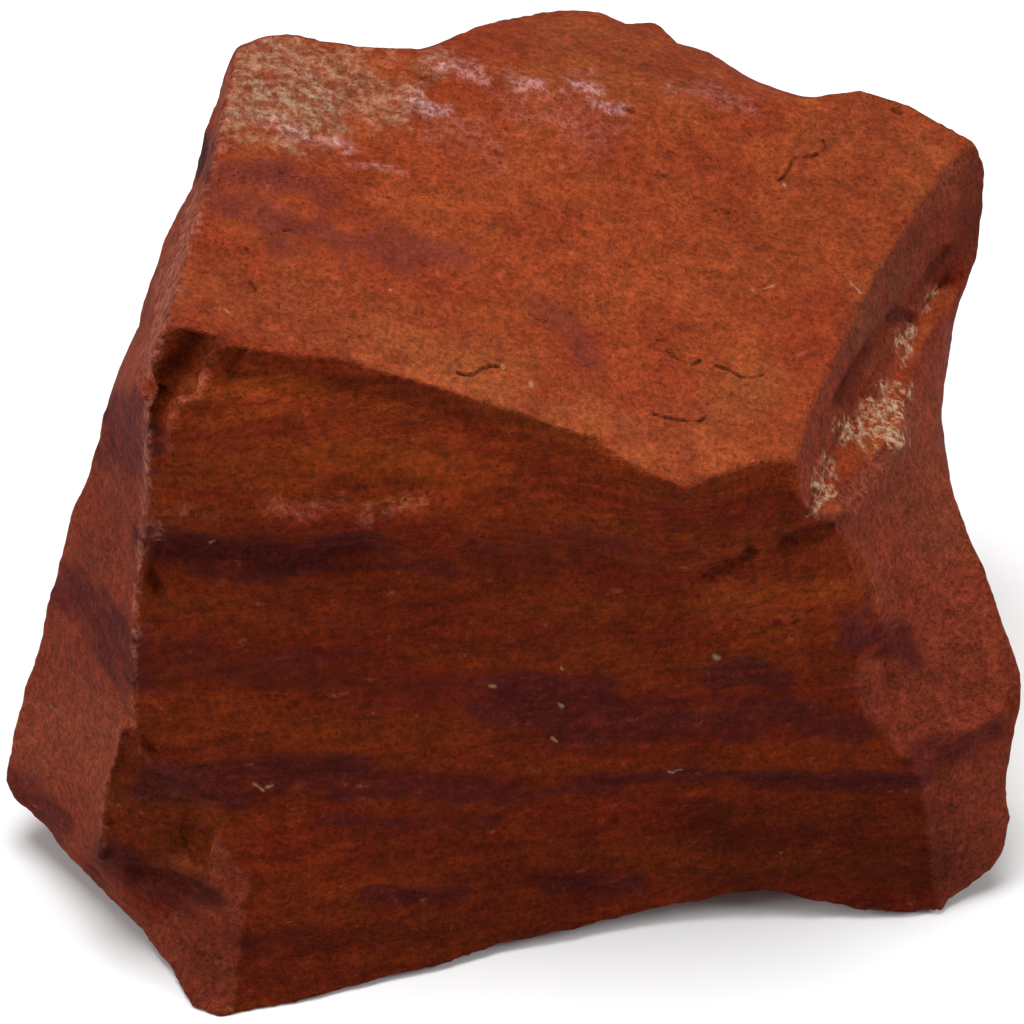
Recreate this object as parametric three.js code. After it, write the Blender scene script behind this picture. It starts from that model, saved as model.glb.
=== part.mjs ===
// A rough lump of banded red jasper, split along flat fractures and standing on its broadest one.
// Millimetres, +Z up, +X to the right and +Y away from whoever faces the tall banded front.
// The origin is under the middle of the stone, on the surface that it stands on.

import * as THREE from "three";
import { ImprovedNoise } from "three/addons/math/ImprovedNoise.js";

// Driving dimension: the stone's broadest measure, left to right
const WIDTH = 58.3;

// All sizes and places below are written for this width, and follow the driving one.
const DRAWN_WIDTH = 58.3;
const SCALE = WIDTH / DRAWN_WIDTH;

// The corners in sight are read off the photograph, which looks down on the stone's front.
// A pixel there, and a height over the table, give a place in millimetres.
const PICTURE_MIDDLE = 512;
const PIXEL = 0.0562 * SCALE; // what a pixel spans at the point aimed at
const LOOK_DOWN = THREE.MathUtils.degToRad(40);
const STAND_OFF = 240 * SCALE;
const AIM = new THREE.Vector3(0, 19.5, 20).multiplyScalar(SCALE);

const FORWARD = new THREE.Vector3(0, Math.cos(LOOK_DOWN), -Math.sin(LOOK_DOWN));
const UPWARD = new THREE.Vector3(0, Math.sin(LOOK_DOWN), Math.cos(LOOK_DOWN));
const EYE = AIM.clone().addScaledVector(FORWARD, -STAND_OFF);

function sightLine(across, down) {
  const slope = PIXEL / STAND_OFF;
  const direction = FORWARD.clone()
    .add(new THREE.Vector3((across - PICTURE_MIDDLE) * slope, 0, 0))
    .addScaledVector(UPWARD, (PICTURE_MIDDLE - down) * slope);
  return new THREE.Ray(EYE, direction.normalize());
}

// The corner seen at a pixel, at a height in millimetres.
function seen(across, down, height) {
  const level = new THREE.Plane(new THREE.Vector3(0, 0, 1), -height * SCALE);
  return sightLine(across, down).intersectPlane(level, new THREE.Vector3());
}

// The top is one tilted fracture, which falls to the right and rises to the back.
const TOP_FALL_RIGHT = 0.233;
const TOP_RISE_BACK = 0.16;
const TOP = new THREE.Plane().setFromNormalAndCoplanarPoint(
  new THREE.Vector3(TOP_FALL_RIGHT, -TOP_RISE_BACK, 1).normalize(),
  new THREE.Vector3(-19.3, 13, 39.3).multiplyScalar(SCALE),
);

// A corner of the top, seen at a pixel.
function onTop(across, down) {
  return sightLine(across, down).intersectPlane(TOP, new THREE.Vector3());
}

// A corner out of sight, in millimetres.
function hidden(x, y, z) {
  return new THREE.Vector3(x, y, z).multiplyScalar(SCALE);
}

const back = (run) => [...run].reverse();

// Rim of the top, from its rear left corner forwards, along the front lip and back on the right
const topRearLeft = onTop(237, 47);
const topLeft = [onTop(227, 100), onTop(215, 155), onTop(201, 205), onTop(184, 265)];
const topFrontLeft = onTop(165, 320);
const chipBrow = [onTop(184, 329), onTop(221, 327)];
const chipBrowEnd = onTop(227, 346);
const lip = [
  onTop(252, 350), onTop(340, 359), onTop(440, 388), onTop(540, 421), onTop(600, 438), onTop(650, 474),
  onTop(685, 489),
];
const lipTurn = onTop(735, 466);
const lipEnd = onTop(797, 452);
const topRight = [onTop(812, 402), onTop(838, 348), onTop(870, 285), onTop(905, 226), onTop(950, 155)];
const topRearRight = onTop(979, 141);
const rearRimRight = [onTop(962, 129), onTop(915, 107), onTop(862, 87)];
const ridgeRight = onTop(800, 100);
const ridge = [onTop(720, 98), onTop(640, 92), onTop(560, 86), onTop(500, 74)];
const ridgeLeft = onTop(428, 50);
const rearRimLeft = [onTop(350, 42), onTop(293, 30), onTop(252, 36)];

// Far rim of the slope behind the ridge
const backRim = [
  seen(500, 14, 37), seen(560, 3, 35.6), seen(597, 8, 35), seen(627, 23, 34.8), seen(657, 20, 34.2),
  seen(678, 43, 34.6), seen(704, 45, 33.8), seen(750, 80, 34),
];

// Left outline: a worn bevel beside the top with a lump behind it, then the slope down to the tip
const bevelOuter = [seen(229, 82, 40.3), seen(219, 118, 39.4), seen(209, 156, 38.4)];
const bevelEnd = seen(201, 188, 37.8);
const lump = [seen(210, 124, 36.6), seen(201, 150, 35.6), seen(203, 172, 35.4)];
const leftHigh = [seen(185, 204, 37), seen(164, 240, 35.4), seen(143, 300, 33.2), seen(129, 350, 31.4)];
const leftWaist = seen(111, 402, 29.4);
const leftLow = [seen(69, 530, 20.5), seen(41, 630, 14), seen(20, 708, 8.8)];
const leftTip = seen(-1, 779, 4);
const leftHem = [seen(9, 801, 3.4), seen(46, 828, 3.2), seen(70, 823, 5.6)];
const leftHemEnd = seen(103, 858, 6.4);

// The upright edge between the left face and the banded front
const uprightTop = seen(148, 395, 36);
const upright = [seen(147, 470, 31), seen(140, 560, 25.4), seen(132, 640, 20.8)];
const uprightEnd = seen(134, 730, 15.6);

// The chip off the corner of the top, in two steps, with a rib on its right
const chipShoulder = seen(152, 350, 37.8);
const chipStep = [seen(177, 353, 37.2), seen(219, 352, 37.7)];
const chipShelf = [seen(158, 376, 36.3), seen(198, 377, 36)];
const chipFloor = [seen(158, 393, 35.5), seen(184, 397, 35.2)];
const rib = [
  seen(214, 364, 37.1), seen(205, 392, 36), seen(184, 408, 35), seen(173, 430, 33.8), seen(168, 462, 31.7),
];

// The hollow under the front lip
const underLip = [seen(240, 380, 35.9), seen(340, 386, 35.1), seen(440, 411, 33.9), seen(530, 437, 32.8)];

// The seam across the front, under which the lower block is set back, with open slots at its right end
const seamLeft = seen(150, 538, 26.8);
const seam = [
  seen(250, 548, 26.3), seen(340, 546, 26.2), seen(430, 556, 25.4), seen(520, 562, 24.9),
  seen(610, 574, 24.2),
];
const slotLow = seen(702, 580, 23.6);
const slot = [seen(750, 555, 25), seen(800, 530, 26.4)];
const slotHigh = seen(838, 522, 26.4);
const cheek = seen(739, 512, 28.9);
const lipFoot = seen(803, 506, 28.9);

// The groove at the foot of the right-hand cliff, with its shelf of crystals
const grooveInner = [
  seen(830, 452, 27.2), seen(850, 404, 27.4), seen(886, 374, 27), seen(903, 334, 27), seen(936, 288, 26.6),
];
const grooveFront = seen(816, 515, 26.9);
const grooveOuter = [
  seen(862, 462, 26), seen(896, 430, 25.8), seen(908, 380, 26), seen(922, 342, 26.2), seen(944, 308, 26.2),
];

// Right outline, down from the top's rear right corner
const cliffOutline = [seen(986, 166, 30.8), seen(987, 220, 28.6), seen(979, 262, 27.2)];
const rightNick = seen(952, 306, 26);
const rightHigh = [seen(936, 350, 25), seen(932, 396, 23.8), seen(938, 440, 22.4)];
const rightLow = [seen(956, 500, 20.2), seen(979, 562, 17.4), seen(1003, 622, 14.4)];
const toeCorner = seen(1018, 665, 12.4);
const toeOutline = [
  seen(1023, 695, 11), seen(1011, 748, 8.6), seen(1009, 790, 6.4), seen(1011, 822, 4.4),
  seen(1002, 856, 2.4), seen(988, 876, 1.2),
];
const toeFront = seen(938, 911, 0.2);
const toeBrow = [seen(990, 720, 10.6), seen(950, 742, 10.4)];
const toeTop = seen(920, 786, 8.6);
const toeEdge = [seen(921, 825, 5.8), seen(927, 870, 2.8)];

// The small facet below the slots, and the edge from it down to the toe
const facetRight = [seen(850, 562, 23.8), seen(861, 600, 21.2)];
const facetLow = seen(852, 648, 18);
const facetHem = [seen(800, 656, 17.4), seen(740, 668, 16.9)];
const facetLeft = seen(702, 636, 19.5);
const flankEdge = [seen(872, 706, 13.6), seen(903, 760, 10.4)];

// The notch in the lower left of the front, and the foot that juts out under it
const notchTop = seen(118, 732, 15);
const notchOuter = seen(109, 794, 10.6);
const notchBrow = [seen(140, 764, 13.6), seen(205, 787, 12.4)];
const notchWall = [seen(142, 777, 12.3), seen(196, 801, 11)];
const notchSide = [seen(214, 812, 10.9), seen(211, 852, 8.3)];
const notchDeep = seen(196, 852, 7.2);
const notchFloor = [seen(150, 853, 7), seen(199, 877, 6.8)];
const notchHem = seen(150, 887, 4.8);
const notchEnd = seen(193, 903, 4.8);
const footEdge = [seen(228, 888, 6.2), seen(240, 925, 4.6), seen(226, 968, 2.2)];
const footOutline = [
  seen(63, 856, 1.8), seen(95, 886, 1), seen(115, 903, 1), seen(133, 921, 0.7), seen(151, 947, 0.5),
  seen(170, 976, 0.3),
];
const footTip = seen(189, 1008, 0.1);
const footFront = seen(220, 1020, 0);

// Where the front meets the table, left to right, with a low arch under its right half
const frontHem = [
  seen(300, 1004, 0.1), seen(430, 972, 0.3), seen(500, 950, 0.5), seen(600, 926, 0.8), seen(700, 906, 1.4),
  seen(765, 892, 2.2), seen(825, 905, 1.2), seen(860, 913, 0.6), seen(902, 916, 0.3),
];

// Corners out of sight, as such a lump has them
const rightRearHigh = hidden(24.4, 40, 21);
const rightRearLow = hidden(23.4, 42, 9);
const rightBelly = hidden(25.8, 26, 9);
const backShoulder = [hidden(13, 44.5, 24), hidden(1, 48, 22), hidden(-10, 43.5, 27)];
const backBelly = [hidden(12, 46.6, 9.4), hidden(-2, 48.6, 8), hidden(-14, 44, 10.6)];
const leftRearHigh = hidden(-17.4, 37.4, 29);
const leftRearLow = hidden(-20.6, 38, 13);
const leftBelly = hidden(-23.4, 28, 12);
const rightFoot = [hidden(26, 15.5, 0.7), hidden(26.4, 26, 0.5), hidden(24.8, 35, 0.6)];
const rearRightFoot = hidden(21.4, 42, 0.7);
const backFoot = [hidden(10, 45.2, 1.1), hidden(-4, 46.6, 0.8)];
const rearLeftFoot = hidden(-17.5, 40.2, 0.9);
const leftFoot = [hidden(-22, 32, 1.2), hidden(-24.4, 22, 1.6)];

// The flat that it rests on, a little smaller than its outline
const restFlat = [
  hidden(-15, 10, 0), hidden(-3, 13, 0), hidden(9, 16, 0), hidden(19, 15, 0), hidden(20, 35, 0),
  hidden(5, 41, 0), hidden(-12, 37, 0), hidden(-19, 25, 0),
];

// Each fracture face is a closed loop of corners. Bulge domes its middle, in millimetres, and is below
// zero for a hollow. Grain is how coarse its triangles are, bedding is how strongly the layers stand
// out on it, and ripple is how wavy it is.
function face(name, { bulge = 0, grain = 1, bedding = 0, ripple = 1 }, loop) {
  return { name, bulge, grain, bedding, ripple, loop };
}

const FACES = [
  face("top", { bulge: -0.3, grain: 1.1 }, [
    topRearLeft, ...topLeft, topFrontLeft, ...chipBrow, chipBrowEnd, ...lip, lipTurn, lipEnd, ...topRight,
    topRearRight, ...rearRimRight, ridgeRight, ...ridge, ridgeLeft, ...rearRimLeft,
  ]),
  face("slope behind the ridge", { bulge: 0.3, bedding: 0.2 }, [
    ridgeLeft, ...back(ridge), ridgeRight, ...back(backRim),
  ]),
  face("left shoulder", { bulge: 0.2, grain: 0.8, bedding: 0.15 }, [
    topRearLeft, ...topLeft, topFrontLeft, chipShoulder, uprightTop, leftWaist, ...back(leftHigh),
    bevelEnd, ...back(bevelOuter),
  ]),
  face("gap before the lump", { bulge: -0.2, grain: 0.6 }, [
    topRearLeft, ...bevelOuter, bevelEnd, ...back(lump),
  ]),
  face("left face", { bulge: -0.3, grain: 0.95, bedding: 0.15 }, [
    uprightTop, upright[0], seamLeft, ...upright.slice(1), uprightEnd, notchTop, notchOuter, leftHemEnd,
    ...back(leftHem), leftTip, ...back(leftLow), leftWaist,
  ]),
  face("chip, upper step", { grain: 0.4 }, [topFrontLeft, ...chipBrow, chipBrowEnd, ...back(chipStep)]),
  face("chip, shelf", { grain: 0.4 }, [
    topFrontLeft, ...chipStep, rib[0], ...back(chipShelf), chipShoulder,
  ]),
  face("chip, lower step", { grain: 0.4 }, [
    chipShoulder, ...chipShelf, rib[0], rib[1], ...back(chipFloor), uprightTop,
  ]),
  face("chip, floor", { bulge: -0.1, grain: 0.4 }, [uprightTop, ...chipFloor, ...rib.slice(1), upright[0]]),
  face("wall under the lip", { bulge: -0.1, grain: 0.6 }, [
    chipStep[1], chipBrowEnd, ...lip.slice(0, 5), ...back(underLip), rib[0],
  ]),
  face("front, upper block", { bulge: 0.3, grain: 0.8, bedding: 0.2 }, [
    ...underLip, ...lip.slice(4), lipTurn, cheek, slot[0], slotLow, ...back(seam), seamLeft, upright[0],
    ...back(rib),
  ]),
  face("cheek under the lip", { grain: 0.6 }, [
    lipTurn, lipEnd, lipFoot, grooveFront, slotHigh, ...back(slot), cheek,
  ]),
  face("front, lower block", { bulge: -0.6, grain: 0.9, bedding: 0.2 }, [
    seamLeft, ...seam, slotLow, facetLeft, ...back(facetHem), facetLow, ...flankEdge, toeTop, ...toeEdge,
    toeFront, ...back(frontHem), footFront, ...back(footEdge), ...back(notchSide), ...back(notchBrow),
    uprightEnd, ...back(upright.slice(1)),
  ]),
  face("small facet", { bulge: -0.1, grain: 0.7, bedding: 0.1 }, [
    slotLow, ...slot, slotHigh, ...facetRight, facetLow, ...facetHem, facetLeft,
  ]),
  face("cliff", { bulge: 0.1, grain: 0.8, bedding: 0.2 }, [
    lipEnd, ...topRight, topRearRight, ...cliffOutline, rightNick, grooveOuter[4], ...back(grooveInner),
    lipFoot,
  ]),
  face("groove", { bulge: -0.3, grain: 0.5 }, [lipFoot, ...grooveInner, ...back(grooveOuter), grooveFront]),
  face("right flank", { bulge: -0.3, grain: 0.9, bedding: 0.2 }, [
    grooveFront, ...grooveOuter, rightNick, ...rightHigh, ...rightLow, toeCorner, ...toeBrow, toeTop,
    ...back(flankEdge), facetLow, ...back(facetRight), slotHigh,
  ]),
  face("toe", { bulge: 0.3, grain: 0.9, bedding: 0.15 }, [
    toeCorner, ...toeOutline, toeFront, ...back(toeEdge), toeTop, ...back(toeBrow),
  ]),
  face("notch, brow", { grain: 0.5 }, [
    uprightEnd, ...notchBrow, ...notchSide, notchDeep, ...back(notchWall),
  ]),
  face("notch, wall", { bulge: -0.2, grain: 0.7, bedding: 0.1 }, [
    notchTop, uprightEnd, ...notchWall, notchDeep, notchFloor[0], leftHemEnd, notchOuter,
  ]),
  face("notch, ramp", { grain: 0.5 }, [notchFloor[0], notchDeep, notchSide[1], notchFloor[1]]),
  face("notch, floor", { bulge: -0.2, grain: 0.5 }, [leftHemEnd, ...notchFloor, notchEnd, notchHem]),
  face("foot, left side", { bulge: 0.2, grain: 0.7, bedding: 0.1 }, [
    leftHem[2], leftHemEnd, notchHem, notchEnd, notchFloor[1], notchSide[1], ...footEdge, footFront,
    footTip, ...back(footOutline), leftHem[1],
  ]),
  face("back, upper right", { bulge: 0.4, grain: 1.35, bedding: 1 }, [
    ...backRim.slice(4), ridgeRight, ...back(rearRimRight), topRearRight, rightRearHigh, backShoulder[0],
    backShoulder[1],
  ]),
  face("back, upper left", { bulge: 0.4, grain: 1.35, bedding: 1 }, [
    topRearLeft, ...back(rearRimLeft), ridgeLeft, ...backRim.slice(0, 5), backShoulder[1],
    backShoulder[2], leftRearHigh,
  ]),
  face("back, lower right", { bulge: 0.2, grain: 1.35, bedding: 1 }, [
    rightRearHigh, rightRearLow, rearRightFoot, backFoot[0], backBelly[0], backShoulder[0],
  ]),
  face("back, lower middle", { bulge: -0.4, grain: 1.35, bedding: 1 }, [
    ...backShoulder, backBelly[2], backBelly[1], backFoot[1], backFoot[0], backBelly[0],
  ]),
  face("back, left foot", { bulge: 0.2, grain: 1.35, bedding: 1 }, [
    backBelly[1], backFoot[1], rearLeftFoot, backBelly[2],
  ]),
  face("rear left corner", { bulge: 0.3, grain: 1.35, bedding: 1 }, [
    leftRearHigh, backShoulder[2], backBelly[2], rearLeftFoot, leftRearLow,
  ]),
  face("right side, rear", { bulge: 0.2, grain: 1.35, bedding: 0.7 }, [
    topRearRight, ...cliffOutline, rightNick, ...rightHigh, rightLow[0], rightBelly, rightRearLow,
    rightRearHigh,
  ]),
  face("right side, low", { bulge: 0.2, grain: 1.35, bedding: 0.7 }, [
    ...rightLow, toeCorner, ...toeOutline, ...rightFoot, rearRightFoot, rightRearLow, rightBelly,
  ]),
  face("left side, rear", { bulge: 0.2, grain: 1.35, bedding: 0.7 }, [
    topRearLeft, ...lump, bevelEnd, ...leftHigh, leftWaist, leftBelly, leftRearLow, leftRearHigh,
  ]),
  face("left side, low", { bulge: 0.2, grain: 1.35, bedding: 0.7 }, [
    leftWaist, ...leftLow, leftTip, leftHem[0], leftFoot[1], leftFoot[0], rearLeftFoot, leftRearLow,
    leftBelly,
  ]),
  face("flat that it rests on", { grain: 1.6, ripple: 0 }, restFlat),
  face("underside, front", { bulge: -0.3, grain: 1.35 }, [
    footFront, ...frontHem, toeFront, restFlat[3], restFlat[2], restFlat[1], restFlat[0],
  ]),
  face("underside, right", { bulge: -0.3, grain: 1.35 }, [
    toeFront, toeOutline[5], ...rightFoot, rearRightFoot, restFlat[4], restFlat[3],
  ]),
  face("underside, back", { bulge: -0.3, grain: 1.35 }, [
    rearRightFoot, ...backFoot, rearLeftFoot, restFlat[6], restFlat[5], restFlat[4],
  ]),
  face("underside, left", { bulge: -0.3, grain: 1.35 }, [
    rearLeftFoot, ...leftFoot, leftHem[0], leftHem[1], ...footOutline, footTip, footFront, restFlat[0],
    restFlat[7], restFlat[6],
  ]),
];

// How fine the surface is
const LONGEST_EDGE = 2.4 * SCALE; // on a face of grain 1
const FILM_PASSES = 60; // settles each face to a taut film between its edges
const FLIP_PASSES = 6;
const FLIP_MARGIN = 0.05; // radians
const WEAR = 0.15; // how far each point is worn towards the middle of its neighbours

// Gentle waves, as a fracture through fine-grained stone leaves them
const WAVES = [
  { length: 10 * SCALE, depth: 0.24 * SCALE },
  { length: 4.2 * SCALE, depth: 0.13 * SCALE },
];

// The bedding dips to the right, and its harder layers stand proud on the rough faces.
const BEDDING_DIP = 0.1;
const HARD_LAYERS = [
  { height: 6, thickness: 1.8 },
  { height: 13, thickness: 2.6 },
  { height: 19.5, thickness: 1.6 },
  { height: 26.5, thickness: 3 },
  { height: 33.5, thickness: 2 },
];
const LAYER_STEP = 0.8 * SCALE;
const LAYER_FLAT = 0.6; // share of a layer's thickness that stands fully proud
const LAYER_END = 1.2;
const PATCH = new THREE.Vector3(9, 9, 5).multiplyScalar(SCALE); // over which a layer comes and goes

// Gives each distinct corner one index, so that neighbouring faces share their edges.
function weldedCorners() {
  const corners = [...new Set(FACES.flatMap((face) => face.loop))];
  const indexOf = new Map(corners.map((corner, i) => [corner, i]));
  return { points: corners.map((corner) => corner.clone()), indexOf };
}

function edgeKey(a, b) {
  return a < b ? `${a},${b}` : `${b},${a}`;
}

// The edges where two faces meet.
function borderEdges(indexOf) {
  return new Set(FACES.flatMap(({ loop }) => loop.map(
    (p, i) => edgeKey(indexOf.get(p), indexOf.get(loop[(i + 1) % loop.length])),
  )));
}

function loopNormal(loop) {
  const normal = new THREE.Vector3();
  loop.forEach((p, i) => {
    const q = loop[(i + 1) % loop.length];
    normal.x += (p.y - q.y) * (p.z + q.z);
    normal.y += (p.z - q.z) * (p.x + q.x);
    normal.z += (p.x - q.x) * (p.y + q.y);
  });
  return normal.normalize();
}

function meanOf(points) {
  return points.reduce((sum, p) => sum.add(p), new THREE.Vector3()).divideScalar(points.length);
}

// Whether two loops pass along a shared edge the same way (1) or opposite ways (-1), or share none (0).
function sharedWay(loop, other) {
  const after = (run, p) => run[(run.indexOf(p) + 1) % run.length];
  for (const p of loop.filter((corner) => other.includes(corner))) {
    const q = after(loop, p);
    if (!other.includes(q)) continue;
    if (after(other, p) === q) return 1;
    if (after(other, q) === p) return -1;
  }
  return 0;
}

// Turns the loops round, spreading from the top, so that neighbours pass along shared edges opposite ways.
function woundLoops() {
  const loops = FACES.map((face) => face.loop);
  if (loopNormal(loops[0]).z < 0) loops[0] = back(loops[0]);
  const settled = [0];
  for (const done of settled) {
    loops.forEach((loop, i) => {
      const way = settled.includes(i) ? 0 : sharedWay(loops[done], loop);
      if (way === 0) return;
      if (way === 1) loops[i] = back(loop);
      settled.push(i);
    });
  }
  return loops;
}

// Triangles of one face, which look to the side from which its loop runs anticlockwise.
function faceTriangles(loop, face, indexOf) {
  const toPlane = new THREE.Quaternion().setFromUnitVectors(loopNormal(loop), new THREE.Vector3(0, 0, 1));
  const flat = loop.map((p) => {
    const { x, y } = p.clone().applyQuaternion(toPlane);
    return new THREE.Vector2(x, y);
  });
  return THREE.ShapeUtils.triangulateShape(flat, []).map((triangle) => ({
    face,
    corners: triangle.map((i) => indexOf.get(loop[i])),
  }));
}

// Halves every edge that is too long, again and again, in both of its triangles at once.
// An edge inside a face belongs to that face alone, and is halved at least once.
function refine(points, cage, border) {
  let triangles = cage;
  for (let pass = 0; ; pass += 1) {
    const middles = new Map();
    const keyIn = (face, a, b) => (border.has(edgeKey(a, b)) ? edgeKey(a, b) : `${face}:${edgeKey(a, b)}`);
    for (const { face, corners } of triangles) {
      corners.forEach((a, i) => {
        const b = corners[(i + 1) % 3];
        const key = keyIn(face, a, b);
        const inside = !border.has(key);
        const long = points[a].distanceTo(points[b]) > LONGEST_EDGE * FACES[face].grain;
        if (middles.has(key) || !(long || (inside && pass === 0))) return;
        middles.set(key, points.length);
        points.push(points[a].clone().lerp(points[b], 0.5));
      });
    }
    if (!middles.size) return triangles;
    triangles = triangles.flatMap(({ face, corners: [a, b, c] }) => {
      const halves = [[a, b], [b, c], [c, a]].map(([p, q]) => middles.get(keyIn(face, p, q)));
      return splitTriangle([a, b, c], halves, points).map((corners) => ({ face, corners }));
    });
    for (const key of [...border].filter((edge) => middles.has(edge))) {
      const [a, b] = key.split(",").map(Number);
      border.delete(key);
      border.add(edgeKey(a, middles.get(key))).add(edgeKey(middles.get(key), b));
    }
    flipEdges(points, triangles, border);
  }
}

// The parts of a triangle whose edges ab, bc and ca may each have a middle.
function splitTriangle([a, b, c], [ab, bc, ca], points) {
  const halved = [ab, bc, ca].filter((middle) => middle !== undefined).length;
  if (halved === 0) return [[a, b, c]];
  if (halved === 3) return [[a, ab, ca], [ab, b, bc], [ca, bc, c], [ab, bc, ca]];
  if (ab === undefined) return splitTriangle([b, c, a], [bc, ca, ab], points);
  if (halved === 1) return [[a, ab, c], [ab, b, c]];
  if (bc === undefined) return splitTriangle([c, a, b], [ca, ab, bc], points);
  const shorter = points[a].distanceTo(points[bc]) < points[ab].distanceTo(points[c]);
  const rest = shorter ? [[a, ab, bc], [a, bc, c]] : [[a, ab, c], [ab, bc, c]];
  return [[ab, b, bc], ...rest];
}

function angleAt(tip, a, b, points) {
  const towardsA = points[a].clone().sub(points[tip]);
  return towardsA.angleTo(points[b].clone().sub(points[tip]));
}

// Turns an edge inside a face the other way where that makes its two triangles less thin.
function flipEdges(points, triangles, border) {
  for (let pass = 0; pass < FLIP_PASSES; pass += 1) {
    const opposite = new Map();
    triangles.forEach(({ corners: [a, b, c] }, t) => {
      for (const [p, q, tip] of [[a, b, c], [b, c, a], [c, a, b]]) opposite.set(`${p},${q}`, { t, tip });
    });
    const touched = new Set();
    for (const [key, { t, tip }] of opposite) {
      const [a, b] = key.split(",").map(Number);
      const other = opposite.get(`${b},${a}`);
      const busy = touched.has(t) || touched.has(other.t);
      if (a > b || busy || border.has(edgeKey(a, b))) continue;
      if (opposite.has(`${tip},${other.tip}`) || opposite.has(`${other.tip},${tip}`)) continue;
      if (angleAt(tip, a, b, points) + angleAt(other.tip, a, b, points) < Math.PI + FLIP_MARGIN) continue;
      triangles[t].corners = [tip, other.tip, b];
      triangles[other.t].corners = [other.tip, tip, a];
      touched.add(t).add(other.t);
    }
    if (!touched.size) return;
  }
}

function neighboursOf(count, triangles) {
  const found = Array.from({ length: count }, () => new Set());
  for (const { corners: [a, b, c] } of triangles) {
    found[a].add(b).add(c);
    found[b].add(c).add(a);
    found[c].add(a).add(b);
  }
  return found.map((set) => [...set]);
}

// The faces that meet at each point: one, or more on an edge.
function facesAt(count, triangles) {
  const found = Array.from({ length: count }, () => new Set());
  for (const { face, corners } of triangles) {
    for (const a of corners) found[a].add(face);
  }
  return found.map((set) => [...set]);
}

function pointNormals(points, triangles) {
  const normals = points.map(() => new THREE.Vector3());
  for (const { corners: [a, b, c] } of triangles) {
    const side = points[b].clone().sub(points[a]);
    const normal = side.cross(points[c].clone().sub(points[a]));
    for (const i of [a, b, c]) normals[i].add(normal);
  }
  return normals.map((normal) => normal.normalize());
}

// Lets each face settle to a film between its fixed edges, and domes it by its bulge.
function settleFaces(points, triangles, neighbours, faces) {
  const dome = points.map(() => 0);
  const inside = points.map((_, i) => i).filter((i) => faces[i].length === 1);
  for (let pass = 0; pass < FILM_PASSES; pass += 1) {
    for (const i of inside) {
      points[i].copy(meanOf(neighbours[i].map((j) => points[j])));
      dome[i] = 1 + neighbours[i].reduce((sum, j) => sum + dome[j], 0) / neighbours[i].length;
    }
  }
  const highest = FACES.map(() => 1);
  for (const i of inside) highest[faces[i][0]] = Math.max(highest[faces[i][0]], dome[i]);
  const normals = pointNormals(points, triangles);
  for (const i of inside) {
    const face = faces[i][0];
    points[i].addScaledVector(normals[i], FACES[face].bulge * SCALE * (dome[i] / highest[face]));
  }
}

function wearEdges(points, neighbours) {
  const means = neighbours.map((list) => meanOf(list.map((i) => points[i])));
  points.forEach((p, i) => p.lerp(means[i], WEAR));
}

// How far the layer at a place stands out, from 0 to 1.
function layerRelief(p) {
  const height = (p.z + p.x * BEDDING_DIP) / SCALE;
  const proud = HARD_LAYERS.map((layer) => {
    const offset = Math.abs(height - layer.height) / layer.thickness;
    return 1 - THREE.MathUtils.smoothstep(offset, LAYER_FLAT, LAYER_END);
  });
  return Math.max(...proud);
}

function roughen(points, triangles, faces) {
  const noise = new ImprovedNoise();
  const normals = pointNormals(points, triangles);
  points.forEach((p, i) => {
    const waves = WAVES.reduce(
      (sum, { length, depth }) => sum + depth * noise.noise(p.x / length, p.y / length, p.z / length),
      0,
    );
    const least = (trait) => Math.min(...faces[i].map((index) => FACES[index][trait]));
    const patchy = 0.5 + noise.noise(p.x / PATCH.x, p.y / PATCH.y, p.z / PATCH.z);
    const step = LAYER_STEP * least("bedding") * patchy * (layerRelief(p) - 0.5);
    p.addScaledVector(normals[i], waves * least("ripple") + step);
  });
}

// What would reach below the table is worn flat, and the stone rests on it.
function flattenFoot(points) {
  for (const p of points) p.z = Math.max(0, p.z);
}

function stoneGeometry() {
  const { points, indexOf } = weldedCorners();
  const cage = woundLoops().flatMap((loop, face) => faceTriangles(loop, face, indexOf));
  const triangles = refine(points, cage, borderEdges(indexOf));
  const neighbours = neighboursOf(points.length, triangles);
  const faces = facesAt(points.length, triangles);
  settleFaces(points, triangles, neighbours, faces);
  wearEdges(points, neighbours);
  roughen(points, triangles, faces);
  flattenFoot(points);
  const middle = new THREE.Box3().setFromPoints(points).getCenter(new THREE.Vector3());
  const geometry = new THREE.BufferGeometry().setFromPoints(points);
  geometry.setIndex(triangles.flatMap(({ corners }) => corners));
  geometry.translate(-middle.x, -middle.y, 0);
  geometry.computeVertexNormals();
  return geometry;
}

function redJasper() {
  const material = new THREE.MeshStandardMaterial({ color: 0x8f3a20, roughness: 0.75, metalness: 0 });
  const mesh = new THREE.Mesh(stoneGeometry(), material);
  mesh.name = "red_jasper";
  return mesh;
}

const stone = new THREE.Group();
stone.add(redJasper());

export default stone;
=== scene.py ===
# The rough red jasper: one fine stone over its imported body, lit and seen as in its picture.
import itertools
import math

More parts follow.
